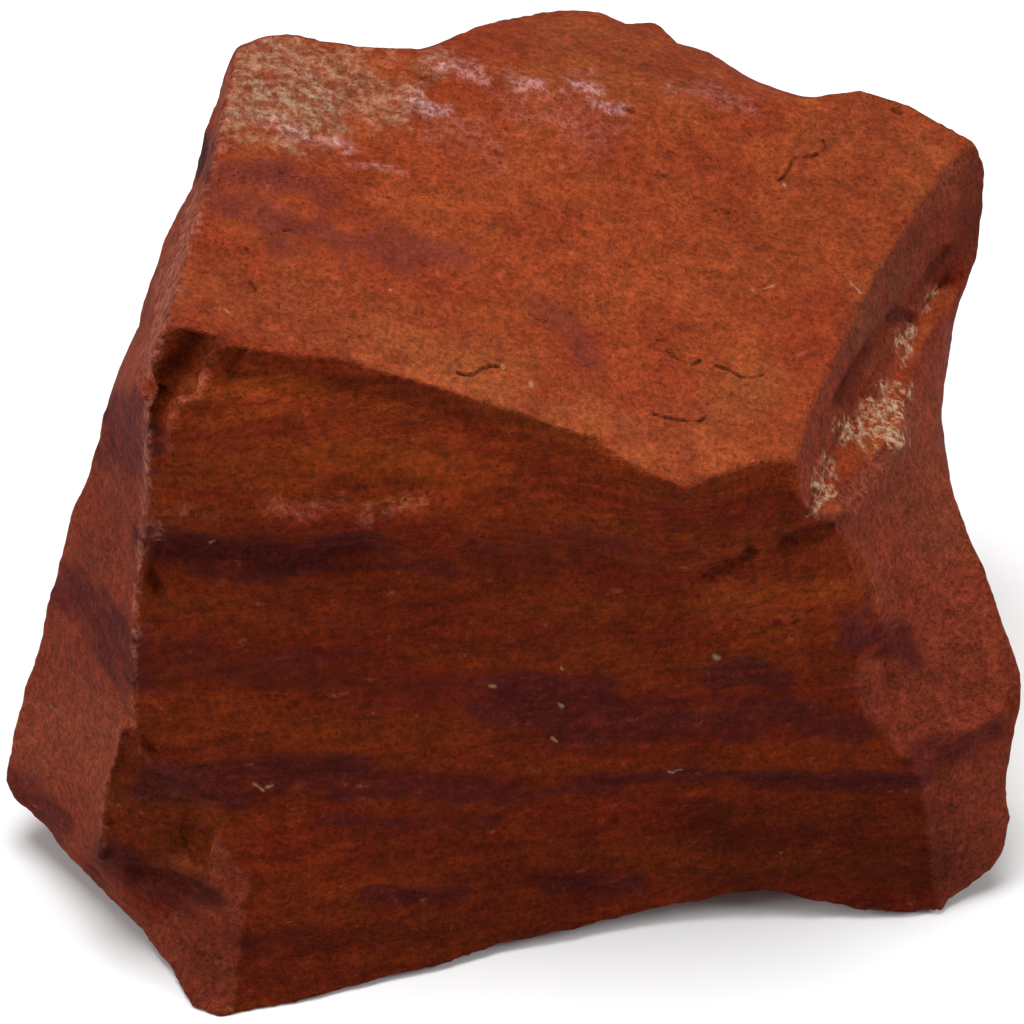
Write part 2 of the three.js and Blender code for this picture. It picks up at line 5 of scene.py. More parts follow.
import bpy
import numpy as np
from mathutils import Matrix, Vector


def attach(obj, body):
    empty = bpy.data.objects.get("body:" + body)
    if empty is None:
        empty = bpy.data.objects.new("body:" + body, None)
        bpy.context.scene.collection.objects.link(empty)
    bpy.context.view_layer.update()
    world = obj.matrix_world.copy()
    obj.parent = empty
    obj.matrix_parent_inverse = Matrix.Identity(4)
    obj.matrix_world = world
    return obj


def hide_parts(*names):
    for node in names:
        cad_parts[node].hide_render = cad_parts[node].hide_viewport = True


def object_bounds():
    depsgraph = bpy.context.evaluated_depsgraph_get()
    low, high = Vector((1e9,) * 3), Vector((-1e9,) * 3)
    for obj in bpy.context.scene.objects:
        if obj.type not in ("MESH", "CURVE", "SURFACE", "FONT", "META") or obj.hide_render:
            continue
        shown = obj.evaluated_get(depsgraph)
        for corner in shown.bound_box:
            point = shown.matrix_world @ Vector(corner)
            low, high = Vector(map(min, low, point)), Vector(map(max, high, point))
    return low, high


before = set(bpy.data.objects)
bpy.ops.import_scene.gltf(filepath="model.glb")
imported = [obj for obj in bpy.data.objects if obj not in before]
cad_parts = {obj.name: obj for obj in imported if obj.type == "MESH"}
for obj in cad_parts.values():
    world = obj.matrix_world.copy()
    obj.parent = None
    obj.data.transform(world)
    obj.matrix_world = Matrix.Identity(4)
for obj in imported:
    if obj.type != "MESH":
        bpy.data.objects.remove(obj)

cad_low, cad_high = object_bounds()

MM = 0.001

# The picture's camera. Places on the seen side are given in the picture's pixels.
PICTURE = 1024
PIXEL = 0.0562 * MM  # size of one pixel at the aim point
STAND_OFF = 240 * MM
LOOK_DOWN = math.radians(40)
AIM = np.array([0.217, -4.413, 20.0]) * MM
ACROSS = np.array([1.0, 0.0, 0.0])
FORWARD = np.array([0.0, math.cos(LOOK_DOWN), -math.sin(LOOK_DOWN)])
UP = np.array([0.0, math.sin(LOOK_DOWN), math.cos(LOOK_DOWN)])
EYE = AIM - STAND_OFF * FORWARD

# How long an edge of the fine mesh may be.
SEEN_EDGE = 0.46 * MM
HIDDEN_EDGE = 1.4 * MM
FINE_EDGE = 0.16 * MM  # on the slots, the crystals and the outlines of the facets
CRACK_EDGE = 0.09 * MM  # on the cracks and the specks
FACING_AWAY = -0.12  # a surface that faces the camera less than this is hidden
DETAIL_SHARE = 0.02  # a place that is marked more than this gets the finer mesh
CUT_ROUNDS = 7
SPREAD_ROUNDS = 3  # in each of which a cut goes on to its triangle's longest side

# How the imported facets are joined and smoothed.
WELD_DECIMALS = 7  # of a metre
CREASE_ANGLE = math.radians(19)  # facets that meet at more than this keep their edge
SMOOTH_PASSES = 5
ROUND_PASSES = 1
NORMAL_PASSES = 3  # which even out the outward directions

# The layers dip a little to the right.
LAYER_DIP = 0.1
LAYER_UP = np.array([LAYER_DIP, 0.0, 1.0]) / math.hypot(LAYER_DIP, 1.0)

# The directions that the top and the front face look in.
TOP_AWAY = np.array([0.233, -0.16, 1.0])
FRONT_AWAY = np.array([0.05, -1.0, 0.1])

# How far the surface stands out or lies back, in millimetres.
GRAIN_HEIGHT = 0.06
SWELL_HEIGHT = 0.10
LAYER_HEIGHT = 0.09
FRONT_LAYER_HEIGHT = 0.13  # added on the front
TOP_HEIGHT = 0.10
CRACK_DEPTH = 0.18
SLOT_DEPTH = 0.35
CRUST_HEIGHT = 0.15
CRUST_ROUGHNESS = 0.35
FORM_FACTOR = 1.4  # times the heights under FORMS

# How far marks stray and fade at their edges, in the picture's pixels.
SOFT_STRAY = 7
CRISP_STRAY = 1.5
FORM_STRAY = 1.6
FACET_FADE = 3.5

# Marks, as lines of picture places with a half width in pixels and a strength from 0 to 1.
CRACKS = [
    ([(457, 372), (466, 374), (475, 374), (482, 369), (490, 366), (500, 367)], 1.4, 1.0),
    ([(655, 413), (666, 416), (675, 418), (688, 420), (700, 421), (707, 417)], 1.4, 1.0),
    ([(715, 367), (725, 370), (733, 374), (740, 378), (752, 378), (762, 375)], 1.4, 0.9),
    ([(665, 352), (672, 358), (680, 363), (690, 367), (700, 362)], 1.3, 0.9),
    ([(657, 341), (670, 343)], 1.2, 0.8),
    ([(795, 158), (805, 157), (815, 155), (823, 151), (826, 145), (824, 139)], 1.4, 0.9),
    ([(778, 180), (783, 176), (788, 170), (792, 160)], 1.4, 0.9),
    ([(713, 211), (722, 210), (730, 212)], 1.2, 0.8),
    ([(655, 176), (665, 177)], 1.1, 0.6),
    ([(615, 105), (630, 111), (648, 118)], 1.2, 0.6),
    ([(405, 75), (418, 79), (432, 78), (440, 82)], 1.4, 0.8),
    ([(284, 230), (294, 232)], 1.4, 0.8),
    ([(246, 249), (253, 257)], 1.3, 0.8),
    ([(249, 282), (256, 289)], 1.3, 0.8),
    ([(478, 250), (486, 253)], 1.1, 0.5),
    ([(530, 312), (538, 318), (546, 321)], 1.1, 0.4),
    ([(707, 404), (716, 402)], 1.1, 0.6),
    ([(893, 110), (899, 113)], 1.7, 0.7),
]
# Slots and grooves: cut into the surface, and darkened with painted shade.
SLOTS = [
    ([(704, 580), (716, 572), (730, 563), (744, 556), (750, 551)], 4.5, 0.8),
    ([(783, 543), (800, 536), (820, 528), (838, 524)], 5.5, 0.8),
    ([(759, 636), (765, 632)], 1.8, 0.4),
    ([(774, 627), (779, 623)], 1.8, 0.5),
    ([(793, 623), (798, 621)], 1.6, 0.4),
    ([(808, 612), (812, 609)], 1.6, 0.4),
    ([(842, 402), (852, 378), (862, 360), (872, 345)], 2.5, 0.5),
    ([(898, 321), (905, 316), (911, 320)], 5.0, 0.8),
    ([(928, 278), (936, 264), (944, 250)], 4.5, 0.7),
    ([(805, 512), (812, 503)], 2.2, 0.6),
    ([(150, 575), (158, 590), (164, 600)], 4.0, 0.5),
]
# Ridges and hollows: a line, a half width in pixels, and a height in millimetres.
FORMS = [
    ([(200, 338), (172, 370), (156, 392)], 13.0, -0.5),
    ([(246, 347), (232, 365), (225, 388)], 5.0, -0.22),
    ([(218, 352), (206, 372), (203, 395), (185, 402), (175, 420), (172, 450)], 4.5, 0.3),
    ([(216, 400), (208, 430), (203, 480)], 4.0, 0.12),
    ([(160, 395), (158, 430), (163, 460)], 7.0, -0.2),
    ([(165, 512), (205, 520), (262, 516), (330, 522), (400, 516), (450, 505)], 12.0, 0.35),
    ([(160, 550), (220, 553), (300, 556), (360, 552)], 13.0, -0.35),
    ([(360, 560), (420, 566), (480, 560), (560, 552), (620, 556)], 10.0, -0.2),
    ([(152, 565), (155, 590)], 8.0, -0.3),
    ([(160, 600), (175, 596), (186, 602)], 4.0, 0.15),
    ([(240, 575), (280, 600), (330, 615)], 7.0, 0.15),
    ([(140, 756), (200, 766), (300, 772), (400, 776), (600, 780)], 7.0, -0.15),
    ([(137, 752), (150, 764), (205, 786), (240, 800)], 4.0, 0.2),
    ([(240, 800), (260, 830), (262, 870), (245, 900)], 6.0, 0.15),
    ([(600, 770), (700, 764), (800, 768), (915, 775)], 6.0, 0.12),
    ([(150, 700), (250, 706), (400, 712)], 7.0, 0.1),
    ([(560, 500), (600, 530), (615, 580)], 10.0, -0.15),
    ([(640, 500), (700, 505), (745, 515)], 14.0, 0.15),
    ([(812, 515), (850, 512), (880, 470), (900, 430)], 10.0, 0.3),
    ([(860, 548), (872, 600), (890, 650), (905, 720)], 6.0, 0.2),
    ([(700, 600), (720, 640), (760, 655), (840, 640)], 6.0, 0.15),
    ([(840, 402), (856, 372), (880, 335), (915, 290)], 6.0, -0.3),
    ([(215, 172), (290, 168), (345, 172), (400, 176)], 8.0, 0.12),
    ([(225, 190), (300, 200), (380, 235)], 16.0, -0.12),
    ([(530, 330), (590, 360), (640, 400)], 12.0, -0.1),
    ([(640, 350), (700, 372), (765, 385)], 14.0, 0.1),
    ([(100, 420), (120, 470), (135, 500)], 10.0, -0.1),
    ([(918, 772), (925, 820), (931, 870), (938, 905)], 5.0, 0.15),
    ([(918, 772), (945, 745), (1000, 712)], 5.0, 0.15),
    ([(1000, 712), (985, 660), (960, 640)], 5.0, 0.1),
    ([(133, 728), (138, 754), (152, 768), (205, 788)], 4.0, 0.2),
    ([(124, 745), (160, 790), (195, 830)], 22.0, -0.3),
    ([(118, 730), (107, 800), (103, 857)], 4.0, 0.15),
    ([(110, 868), (150, 872), (195, 885)], 6.0, -0.2),
    ([(216, 880), (240, 930), (236, 1000)], 5.0, 0.15),
]
# Facets that read as part of the flank or of the front: their corners, which one, and a factor of
# painted light and painted shade by which they are darker or lighter.
FLANK_FACET, FRONT_FACET = 0, 1
FACETS = [
    (
        [(918, 772), (945, 745), (1000, 712), (1030, 770), (1030, 860), (960, 915), (938, 915),
         (931, 870), (925, 820)],
        FLANK_FACET, 0.95,
    ),
    (
        [(860, 548), (880, 480), (945, 300), (1000, 440), (1040, 640), (1000, 712), (945, 745),
         (918, 772), (888, 742), (862, 708), (850, 676), (872, 650)],
        FLANK_FACET, 1.04,
    ),
    (
        [(118, 730), (133, 728), (138, 754), (152, 768), (205, 788), (214, 832), (206, 866),
         (150, 862), (103, 857), (107, 800)],
        FRONT_FACET, 0.9,
    ),
    (
        [(205, 872), (216, 835), (250, 880), (238, 960), (232, 1030), (190, 1030), (150, 935),
         (185, 900)],
        FLANK_FACET, 1.0,
    ),
    (
        [(186, 326), (222, 330), (240, 347), (216, 356), (204, 372), (198, 396), (176, 402),
         (160, 392), (170, 362)],
        FRONT_FACET, 0.72,
    ),
    (
        [(700, 640), (712, 600), (760, 560), (838, 527), (862, 562), (884, 660), (840, 640),
         (765, 660)],
        FRONT_FACET, 1.0,
    ),
]
# Where the stone is darker or lighter, mostly painted shade and painted light: a line, a half width
# and a factor.
# Painted shade falls under the lip, in the chip, hollows and grooves and where the bottom curves
# under; painted light brightens faces that lean back to the light. A few are the stone's own darker
# layers.
SHADE_AND_TONES = [
    ([(190, 425), (300, 435), (430, 450)], 55.0, 1.5),
    ([(480, 480), (600, 500)], 42.0, 1.3),
    ([(480, 556), (620, 552)], 18.0, 1.05),
    ([(730, 605), (790, 610), (835, 595)], 36.0, 1.55),
    ([(740, 850), (850, 850), (915, 865)], 55.0, 0.55),
    ([(230, 960), (400, 930), (560, 905)], 45.0, 0.72),
    ([(380, 845), (700, 840)], 34.0, 0.86),
    ([(130, 765), (180, 835)], 42.0, 1.05),
    ([(105, 860), (190, 890)], 22.0, 0.75),
    ([(165, 555), (330, 556)], 16.0, 0.75),
    ([(150, 780), (340, 776)], 20.0, 0.85),
    ([(200, 338), (170, 365)], 15.0, 0.8),
    ([(163, 385), (165, 420), (168, 455)], 8.0, 0.8),
    ([(232, 366), (310, 366), (400, 394), (480, 430)], 12.0, 0.82),
    ([(975, 155), (977, 255)], 15.0, 0.7),
    # Painted shade on the back-left surface seen edge-on beyond the top's edge.
    ([(201, 130), (203, 150), (201, 170)], 8.0, 0.45),
    ([(770, 230), (860, 230)], 60.0, 0.87),
    ([(520, 45), (680, 70)], 40.0, 0.9),
    ([(850, 350), (890, 290), (930, 210)], 22.0, 0.9),
    ([(600, 420), (700, 445)], 40.0, 1.08),
    ([(120, 490), (100, 560)], 30.0, 0.88),
    ([(900, 560), (950, 600)], 36.0, 1.08),
    ([(905, 680), (985, 690)], 22.0, 0.9),
    ([(40, 735), (100, 735)], 36.0, 1.12),
    ([(150, 668), (340, 672)], 22.0, 0.92),
]
CRYSTALS = [
    ([(934, 289), (927, 299), (924, 311)], 3.6, 0.8),
    ([(907, 333), (904, 345)], 7.9, 0.9),
    ([(905, 352), (903, 365)], 4.3, 0.7),
    ([(884, 388), (896, 388), (904, 392)], 7.2, 0.8),
    ([(864, 408), (880, 410), (893, 404)], 10.8, 1.0),
    ([(850, 430), (868, 436), (884, 440)], 11.5, 1.0),
    ([(862, 418), (880, 424)], 10.1, 1.0),
    ([(822, 462), (818, 476), (828, 470)], 6.5, 0.6),
    ([(818, 486), (822, 498), (832, 490)], 7.9, 0.9),
    ([(806, 512), (816, 505)], 2.9, 0.8),
]
PURPLE = [
    ([(155, 548), (210, 555), (300, 556), (360, 550)], 22.0, 1.0),
    ([(205, 552), (250, 556), (305, 560)], 15.0, 1.0),
    ([(360, 552), (400, 566), (450, 568)], 14.0, 0.6),
    ([(480, 556), (550, 548), (620, 552)], 20.0, 0.5),
    ([(140, 668), (200, 664), (280, 668), (350, 678)], 30.0, 0.55),
    ([(350, 680), (430, 690), (500, 690)], 18.0, 0.45),
    ([(508, 700), (545, 705), (590, 712)], 32.0, 0.95),
    ([(718, 682), (745, 676), (780, 684)], 14.0, 0.95),
    ([(590, 722), (680, 716), (780, 712), (860, 724)], 20.0, 0.8),
    ([(150, 782), (220, 780), (290, 774), (350, 778)], 24.0, 0.8),
    ([(350, 782), (450, 792), (530, 792), (600, 784)], 13.0, 0.75),
    ([(600, 780), (700, 774), (800, 776), (920, 782)], 12.0, 0.9),
    ([(320, 818), (400, 824), (500, 820)], 7.0, 0.6),
    ([(370, 893), (410, 897), (460, 893)], 11.0, 0.8),
    ([(550, 888), (600, 888), (640, 880)], 10.0, 0.8),
    ([(250, 938), (290, 936), (330, 930)], 12.0, 0.5),
    ([(110, 408), (130, 420), (140, 450), (120, 440)], 24.0, 1.0),
    ([(62, 588), (90, 610), (115, 640), (128, 668)], 26.0, 0.85),
    ([(8, 778), (30, 800), (60, 825)], 14.0, 0.8),
    ([(210, 178), (250, 172), (330, 192)], 18.0, 0.75),
    ([(235, 205), (280, 225), (340, 240)], 26.0, 0.75),
    ([(350, 245), (400, 250), (450, 252)], 16.0, 0.7),
    ([(540, 300), (560, 325), (580, 350)], 18.0, 0.65),
    ([(846, 628), (872, 636), (905, 648)], 19.0, 0.95),
    ([(918, 760), (950, 748), (1000, 730)], 18.0, 0.8),
    ([(110, 855), (150, 880), (195, 895)], 20.0, 0.75),
    # Painted shade: the back-left surface seen edge-on beyond the top's edge, painted dark purple.
    ([(200, 130), (204, 150), (202, 172)], 9.0, 1.0),
    ([(870, 345), (855, 375), (845, 400)], 10.0, 0.5),
    ([(935, 270), (960, 240), (965, 215)], 14.0, 0.5),
]
# Where the colour is dustier.
DUST = [
    ([(190, 425), (300, 435), (430, 450)], 55.0, 0.9),
    ([(480, 480), (620, 500)], 42.0, 0.6),
    ([(180, 605), (350, 605), (600, 630)], 24.0, 0.4),
    ([(730, 605), (790, 610), (835, 595)], 40.0, 1.0),
    ([(180, 290), (300, 305), (400, 345), (560, 425)], 30.0, 0.9),
    ([(600, 425), (700, 440), (760, 400)], 36.0, 0.9),
    ([(560, 50), (680, 70)], 40.0, 0.7),
    ([(850, 120), (930, 160)], 40.0, 0.7),
    ([(900, 430), (940, 520)], 36.0, 0.8),
    ([(855, 340), (895, 280)], 22.0, 0.9),
    ([(40, 735), (100, 735)], 40.0, 0.7),
    ([(130, 765), (180, 835)], 42.0, 0.9),
]
TAN = [
    ([(245, 100), (275, 95), (310, 105)], 34.0, 1.0),
    ([(250, 65), (290, 60), (340, 75)], 26.0, 0.7),
    ([(330, 95), (370, 90), (400, 95)], 24.0, 0.6),
    ([(430, 60), (445, 66)], 12.0, 0.5),
]
VIOLET = [
    ([(262, 122), (290, 128), (320, 137), (352, 144)], 5.6, 0.8),
    ([(412, 100), (430, 106), (444, 110)], 6.4, 1.0),
    ([(436, 58), (460, 68), (485, 76)], 6.4, 0.8),
    ([(505, 78), (520, 82), (542, 88)], 6.4, 0.8),
    ([(570, 80), (582, 84), (600, 90)], 7.2, 1.0),
    ([(592, 98), (604, 106), (614, 108)], 6.4, 0.9),
    ([(680, 88), (715, 96), (750, 104)], 9.0, 0.25),
    ([(350, 168), (375, 171), (400, 175)], 3.2, 0.5),
    ([(440, 120), (470, 130), (500, 150)], 16.0, 0.14),
    ([(520, 100), (560, 110), (600, 130)], 18.0, 0.16),
]
# Pale worn edges, and painted highlights where the light catches the lit rib and the ledge's lower
# edges on the front.
PALE_WEAR_AND_HIGHLIGHTS = [
    ([(148, 400), (147, 475), (140, 560), (133, 640), (133, 728)], 3.0, 0.8),
    ([(158, 520), (157, 540)], 5.0, 0.8),
    ([(215, 352), (207, 365), (200, 395), (180, 402), (172, 420), (173, 450)], 3.5, 0.25),
    ([(228, 70), (220, 140), (203, 190)], 5.0, 0.6),
    ([(198, 195), (182, 250), (161, 315), (150, 375)], 8.0, 0.9),
    ([(170, 508), (200, 512), (232, 516)], 6.0, 0.3),
    ([(262, 505), (300, 508), (340, 500)], 6.0, 0.4),
    ([(360, 515), (400, 500), (425, 495)], 5.0, 0.4),
    ([(118, 735), (110, 780), (103, 850)], 4.0, 0.4),
    ([(810, 512), (835, 512), (870, 470), (895, 440)], 9.0, 0.3),
]
SPECKS = [
    ([(428, 291), (429, 292)], 1.4, 1.0),
    ([(225, 308), (230, 313)], 1.4, 1.0),
    ([(390, 290), (391, 290)], 1.1, 0.8),
    ([(689, 364), (691, 367)], 1.1, 1.0),
    ([(784, 184), (785, 185)], 1.1, 0.8),
    ([(890, 238), (891, 239)], 1.1, 0.8),
    ([(850, 280), (857, 288), (862, 293)], 0.8, 0.9),
    ([(764, 288), (774, 285)], 0.8, 0.7),
    ([(714, 656), (719, 658)], 2.7, 1.0),
    ([(669, 770), (673, 772), (676, 768), (681, 767)], 0.9, 0.9),
    ([(254, 784), (259, 787), (263, 790)], 0.8, 0.8),
    ([(267, 787), (273, 785)], 0.7, 0.7),
    ([(538, 689), (542, 691)], 1.4, 0.9),
    ([(558, 703), (562, 706)], 1.4, 0.9),
    ([(561, 667), (563, 669)], 1.4, 0.9),
    ([(553, 739), (557, 742)], 1.4, 0.9),
    ([(490, 686), (494, 686)], 1.6, 0.8),
    ([(49, 702), (51, 708)], 1.0, 0.9),
    ([(212, 844), (211, 852)], 1.2, 0.8),
    ([(502, 366), (503, 368)], 1.4, 0.6),
    ([(530, 384), (531, 385)], 1.2, 0.8),
    ([(752, 288), (753, 289)], 0.9, 0.6),
    ([(210, 549), (214, 547)], 1.4, 0.6),
]
# Bands on the sides out of the picture: a height and a half thickness in millimetres, a strength.
HIDDEN_BANDS = [
    (33.5, 1.2, 0.45),
    (26.3, 1.1, 0.75),
    (20.0, 2.2, 0.6),
    (13.2, 1.0, 0.75),
    (7.0, 0.8, 0.6),
]


# Noise
AXIS_PRIMES = (73856093, 19349663, 83492791)
MIX_PRIMES = (1274126177, 83492791)
SEED_STEP, SEED_START = 40503, 977
WAVE_GAIN = 1.3  # brings a wave to about -1 to 1
OCTAVE_SEED = 11


def hashed(cells, seed):
    """A seeded number from -1 to 1 for each whole-numbered cell."""
    mixed = seed * SEED_STEP + SEED_START
    for axis, prime in enumerate(AXIS_PRIMES):
        mixed = cells[:, axis] * prime ^ mixed
    mixed = (mixed ^ (mixed >> 13)) * MIX_PRIMES[0]
    mixed = (mixed ^ (mixed >> 15)) * MIX_PRIMES[1]
    return ((mixed ^ (mixed >> 16)) & 0xFFFF) / 32767.5 - 1


def wave(points, cell, seed):
    """Smooth seeded noise, about -1 to 1. A cell is one size, or one for each axis."""
    spots = points / np.asarray(cell)
    corners = np.floor(spots).astype(np.int64)
    parts = spots - corners
    ease = parts * parts * parts * (parts * (parts * 6 - 15) + 10)
    total = np.zeros(len(points))
    for step in itertools.product((0, 1), repeat=3):
        share = np.prod(np.where(step, ease, 1 - ease), axis=1)
        slope = sum(
            hashed(corners + step, seed * 3 + axis) * (parts[:, axis] - step[axis])
            for axis in range(3)
        )
        total += share * slope
    return total * WAVE_GAIN


def roughness(points, cell, seed, octaves, fade=0.5):
    """Several sizes of noise together, each half the size of the one before."""
    total = np.zeros(len(points))
    for octave in range(octaves):
        size = np.asarray(cell) / 2**octave
        total += fade**octave * wave(points, size, seed + OCTAVE_SEED * octave)
    return total


def smoothstep(value, low, high):
    """0 up to low, 1 from high on, and a smooth rise between them."""
    share = np.clip((value - low) / (high - low), 0, 1)
    return share * share * (3 - 2 * share)


# Mesh
def welded(mesh):
    """The mesh's points and triangles, with points in the same place made one."""
    places = np.zeros(len(mesh.vertices) * 3)
    mesh.vertices.foreach_get("co", places)
    mesh.calc_loop_triangles()
    triangles = np.zeros(len(mesh.loop_triangles) * 3, np.int64)
    mesh.loop_triangles.foreach_get("vertices", triangles)
    places = places.reshape(-1, 3)
    rounded = np.round(places, WELD_DECIMALS)
    _, first, same = np.unique(rounded, axis=0, return_index=True, return_inverse=True)
    triangles = same.reshape(-1)[triangles].reshape(-1, 3)
    whole = (triangles != np.roll(triangles, 1, axis=1)).all(axis=1)
    return places[first], triangles[whole]


def edges_of(triangles):
    """Each edge once, and for each triangle the numbers of its three edges."""
    ends = np.roll(triangles, -1, axis=1)
    most = triangles.max() + 1
    keys = np.minimum(triangles, ends) * most + np.maximum(triangles, ends)
    keys, numbers = np.unique(keys, return_inverse=True)
    return np.stack([keys // most, keys % most], axis=1), numbers.reshape(-1, 3)


def outward(points, triangles):
    """The outward direction of each triangle, as long as twice its area."""
    a, b, c = (points[triangles[:, k]] for k in range(3))
    return np.cross(b - a, c - a)


def normals_of(points, triangles):
    """The outward direction at each point."""
    flat = outward(points, triangles)
    total = np.zeros_like(points)
    for k in range(3):
        for axis in range(3):
            total[:, axis] += np.bincount(triangles[:, k], flat[:, axis], len(points))
    return total / np.maximum(np.linalg.norm(total, axis=1, keepdims=True), 1e-20)


def pixels(points):
    """Where the points are in the picture."""
    rel = points - EYE
    scale = STAND_OFF / PIXEL / (rel @ FORWARD)
    middle = PICTURE / 2
    return np.stack([middle + rel @ ACROSS * scale, middle - rel @ UP * scale], axis=1)


def halved(points, triangles, facets):
    """Halves the edges that are too long for their place, and cuts the triangles with them."""
    for _ in range(CUT_ROUNDS):
        edges, numbers = edges_of(triangles)
        middles = points[edges].mean(axis=1)
        lengths = np.linalg.norm(points[edges[:, 0]] - points[edges[:, 1]], axis=1)
        cut = lengths > longest_edge(middles, points, triangles, edges)
        for _ in range(SPREAD_ROUNDS):  # a triangle that is cut is also cut on its longest side
            rows = cut[numbers].any(axis=1)
            cut[numbers[rows, lengths[numbers[rows]].argmax(axis=1)]] = True
        fresh = np.full(len(edges), -1)
        fresh[cut] = len(points) + np.arange(cut.sum())
        points = np.concatenate([points, middles[cut]])
        marks = fresh[numbers]
        count = (marks >= 0).sum(axis=1)
        made, kept = [triangles[count == 0]], [facets[count == 0]]
        # The triangles with three, two and one cut edges, turned so that their cut edges come first
        for wanted in (3, 2, 1):
            for turn in range(3 if wanted < 3 else 1):
                m = np.roll(marks, -turn, axis=1)
                t = np.roll(triangles, -turn, axis=1)
                pick = (count == wanted) & (m[:, :wanted] >= 0).all(axis=1)
                (a, b, c), (p, q, r) = t[pick].T, m[pick].T
                parts = {
                    3: [(a, p, r), (p, b, q), (r, q, c), (p, q, r)],
                    2: [(p, b, q), (a, p, q), (a, q, c)],
                    1: [(a, p, c), (p, b, c)],
                }
                for part in parts[wanted]:
                    made.append(np.stack(part, axis=1))
                    kept.append(facets[pick])
        triangles = np.concatenate(made)
        facets = np.concatenate(kept)
    return points, triangles, facets


def averaged(values, edges):
    """For each point, the mean of the values at the other ends of its edges."""
    total = np.zeros_like(values)
    count = np.bincount(edges.reshape(-1), minlength=len(values))
    for near, far in ((0, 1), (1, 0)):
        for axis in range(values.shape[1]):
            total[:, axis] += np.bincount(edges[:, near], values[edges[:, far], axis], len(values))
    return total / np.maximum(count, 1)[:, None]


def settled(points, triangles, facets, facet_normals):
    """Smooths the flat facets into each other, but keeps sharp edges until the last passes."""
    edges, numbers = edges_of(triangles)
    owners = np.repeat(np.arange(len(triangles)), 3)
    pairs = owners[np.argsort(numbers.reshape(-1), kind="stable")].reshape(-1, 2)
    one, other = (facet_normals[facets[pairs[:, side]]] for side in (0, 1))
    crease = np.einsum("ij,ij->i", one, other) < math.cos(CREASE_ANGLE)
    on_crease = np.bincount(edges[crease].reshape(-1), minlength=len(points))

    for _ in range(SMOOTH_PASSES):
        move = np.where((on_crease == 0)[:, None], averaged(points, edges) - points, 0)
        along = averaged(points, edges[crease])
        move = np.where((on_crease == 2)[:, None], 0.5 * (along - points), move)
        points = points + 0.5 * move
    for _ in range(ROUND_PASSES):
        points = points + 0.5 * (averaged(points, edges) - points)
    return points


# Marks
def line_distance(places, line):
    """How far each place is from a line of places, in pixels."""
    nearest = np.full(len(places), np.inf)
    for start, end in zip(np.array(line[:-1], float), np.array(line[1:], float)):
        along = end - start
        share = np.clip((places - start) @ along / max(along @ along, 1e-9), 0, 1)
        gap = np.linalg.norm(places - start - share[:, None] * along, axis=1)
        nearest = np.minimum(nearest, gap)
    return nearest


def marked(places, marks, soft, uneven=0):
    """How strongly each place is marked, from 0 to 1. Soft is the share of the width over which it
    fades, and uneven, a number for each place, widens and narrows the mark."""
    total = np.zeros(len(places))
    for line, width, strength in marks:
        distance = line_distance(places, line) / width + uneven
        total = np.maximum(total, strength * (1 - smoothstep(distance, 1 - soft, 1 + soft)))
    return total


def inside(places, corners):
    """1 inside the outline, 0 outside, fading over a few pixels at its edge."""
    crossings = np.zeros(len(places), int)
    ring = np.array(corners + corners[:1], float)
    for (x0, y0), (x1, y1) in zip(ring[:-1], ring[1:]):
        spans = (y0 > places[:, 1]) != (y1 > places[:, 1])
        at = x0 + (places[:, 1] - y0) * (x1 - x0) / (y1 - y0 if y1 != y0 else 1)
        crossings += spans & (places[:, 0] < at)
    distance = line_distance(places, ring.tolist()) * np.where(crossings % 2 == 1, 1, -1)
    return smoothstep(distance, -FACET_FADE, FACET_FADE)


def seen_share(points, away):
    """1 where the surface faces the picture's camera, 0 where it looks away."""
    towards = EYE - points
    towards /= np.linalg.norm(towards, axis=1, keepdims=True)
    return smoothstep(np.einsum("ij,ij->i", away, towards), low=0.0, high=0.12)


def looking(away, direction, low, high):
    """1 where the surface looks in a direction, fading from high to low, which are cosines."""
    return smoothstep(away @ (direction / np.linalg.norm(direction)), low, high)


def on_front(away):
    """1 on the front, which is broken and banded, and 0 away from it."""
    return looking(away, FRONT_AWAY, low=0.55, high=0.85)


def along_layers(points):
    """The points with their height measured across the layers."""
    return np.stack([points[:, 0], points[:, 1], points @ LAYER_UP], axis=1)


def cell_of(*millimetres):
    """A noise cell's size on each axis."""
    return np.array(millimetres) * MM


# The stone
def relief(points, away):
    """How far each point moves out, by the grain, the layers, the forms, cracks and crystals."""
    places = pixels(points)
    seen = seen_share(points, away)
    top = looking(away, TOP_AWAY, low=0.75, high=0.92)
    move = GRAIN_HEIGHT * roughness(points, 1.3 * MM, seed=5, octaves=3)
    move += SWELL_HEIGHT * wave(points, 5 * MM, seed=9)
    layer_height = (1 - top) * (LAYER_HEIGHT + FRONT_LAYER_HEIGHT * on_front(away))
    layers = roughness(along_layers(points), cell_of(9, 9, 1.7), seed=21, octaves=4, fade=0.6)
    move += layer_height * layers
    move += top * TOP_HEIGHT * roughness(points, 3.2 * MM, seed=31, octaves=2)
    stray = [wave(points, 0.8 * MM, seed=41), wave(points, 0.8 * MM, seed=43)]
    ragged = places + FORM_STRAY * np.stack(stray, axis=1)
    for line, width, height in FORMS:
        move += FORM_FACTOR * height * seen * marked(ragged, [(line, width, 1.0)], soft=0.9)
    uneven = 0.5 * wave(points, 1.1 * MM, seed=45)
    move -= CRACK_DEPTH * seen * marked(ragged, CRACKS, soft=0.7, uneven=uneven)
    move -= SLOT_DEPTH * seen * marked(ragged, SLOTS, soft=0.8)
    crust = seen * marked(ragged, CRYSTALS, soft=0.3)
    lumps = roughness(points, 0.9 * MM, seed=51, octaves=2)
    move += crust * (CRUST_HEIGHT + CRUST_ROUGHNESS * lumps)
    return move * MM


